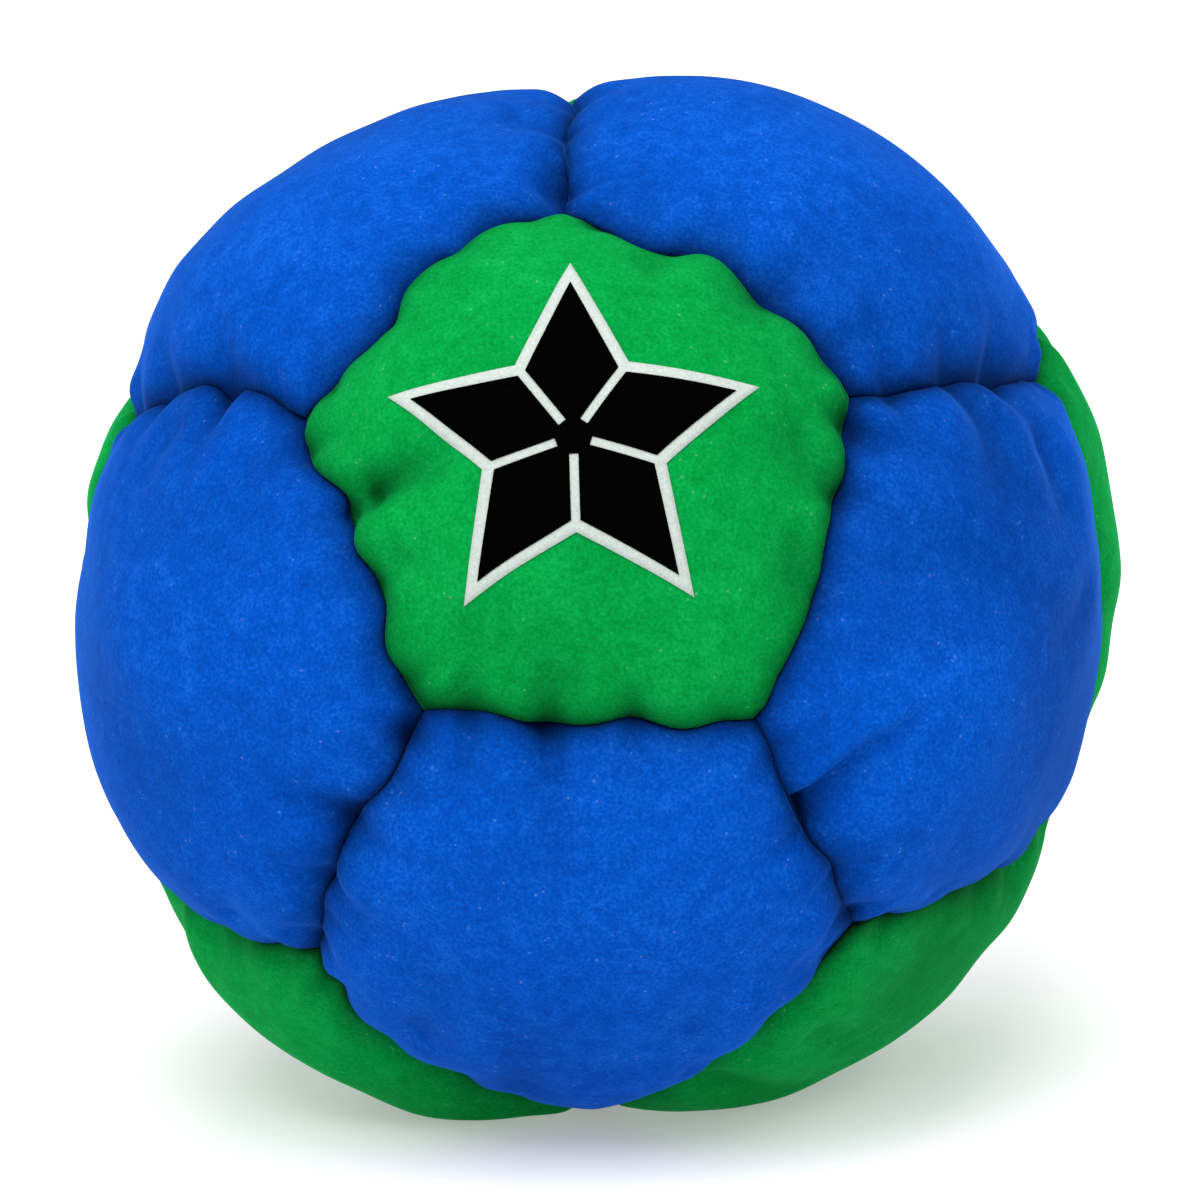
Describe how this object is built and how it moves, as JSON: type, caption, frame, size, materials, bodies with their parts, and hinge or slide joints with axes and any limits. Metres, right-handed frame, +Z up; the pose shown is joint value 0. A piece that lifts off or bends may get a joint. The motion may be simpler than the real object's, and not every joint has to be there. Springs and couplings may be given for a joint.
{
  "type": "juggling ball",
  "caption": "Soft sewn juggling ball: pentagonal suede panels in two colours, stitched edge to edge around a cloth liner filled with fine sand, with a printed star on the front panel.",
  "frame": {"origin": "centre of the flattened patch the ball rests on, at the bottom of the bounding box", "axes": "+Z up, +X to the right of the panel with the printed star, which faces -Y and a little upwards; +Y to the rear"},
  "size_m": [0.0576, 0.0576, 0.0564],
  "materials": {
    "suede_blue": "soft napped suede, dyed blue",
    "suede_green": "soft napped suede, dyed green",
    "sewing_thread": "twisted waxed polyester thread, dark",
    "liner_cloth": "thin white non-woven cloth",
    "sand": "fine dry sand",
    "print_white": "thin off-white ink",
    "print_black": "thin black ink"
  },
  "bodies": {
    "root": {"panel_front": "suede_green", "panel_upper_left": "suede_blue", "panel_upper_right": "suede_blue", "panel_left": "suede_blue", "panel_right": "suede_blue", "panel_lower": "suede_blue", "panel_base_left": "suede_green", "panel_base_right": "suede_green", "panel_rear_left": "suede_green", "panel_rear_right": "suede_green", "panel_top_rear": "suede_green", "panel_back": "suede_blue", "thread_front_ring": "sewing_thread", "thread_front_spoke_top": "sewing_thread", "thread_front_spoke_upper_right": "sewing_thread", "thread_front_spoke_lower_right": "sewing_thread", "thread_front_spoke_lower_left": "sewing_thread", "thread_front_spoke_upper_left": "sewing_thread", "thread_belt": "sewing_thread", "thread_rear_spoke_top_right": "sewing_thread", "thread_rear_spoke_right": "sewing_thread", "thread_rear_spoke_base": "sewing_thread", "thread_rear_spoke_left": "sewing_thread", "thread_rear_spoke_top_left": "sewing_thread", "thread_rear_ring": "sewing_thread", "thread_closing_seam": "sewing_thread", "liner_front": "liner_cloth", "liner_rear": "liner_cloth", "sand_filling": "sand", "print_underbase": "print_white", "print_star": "print_black"}
  },
  "joints": []
}
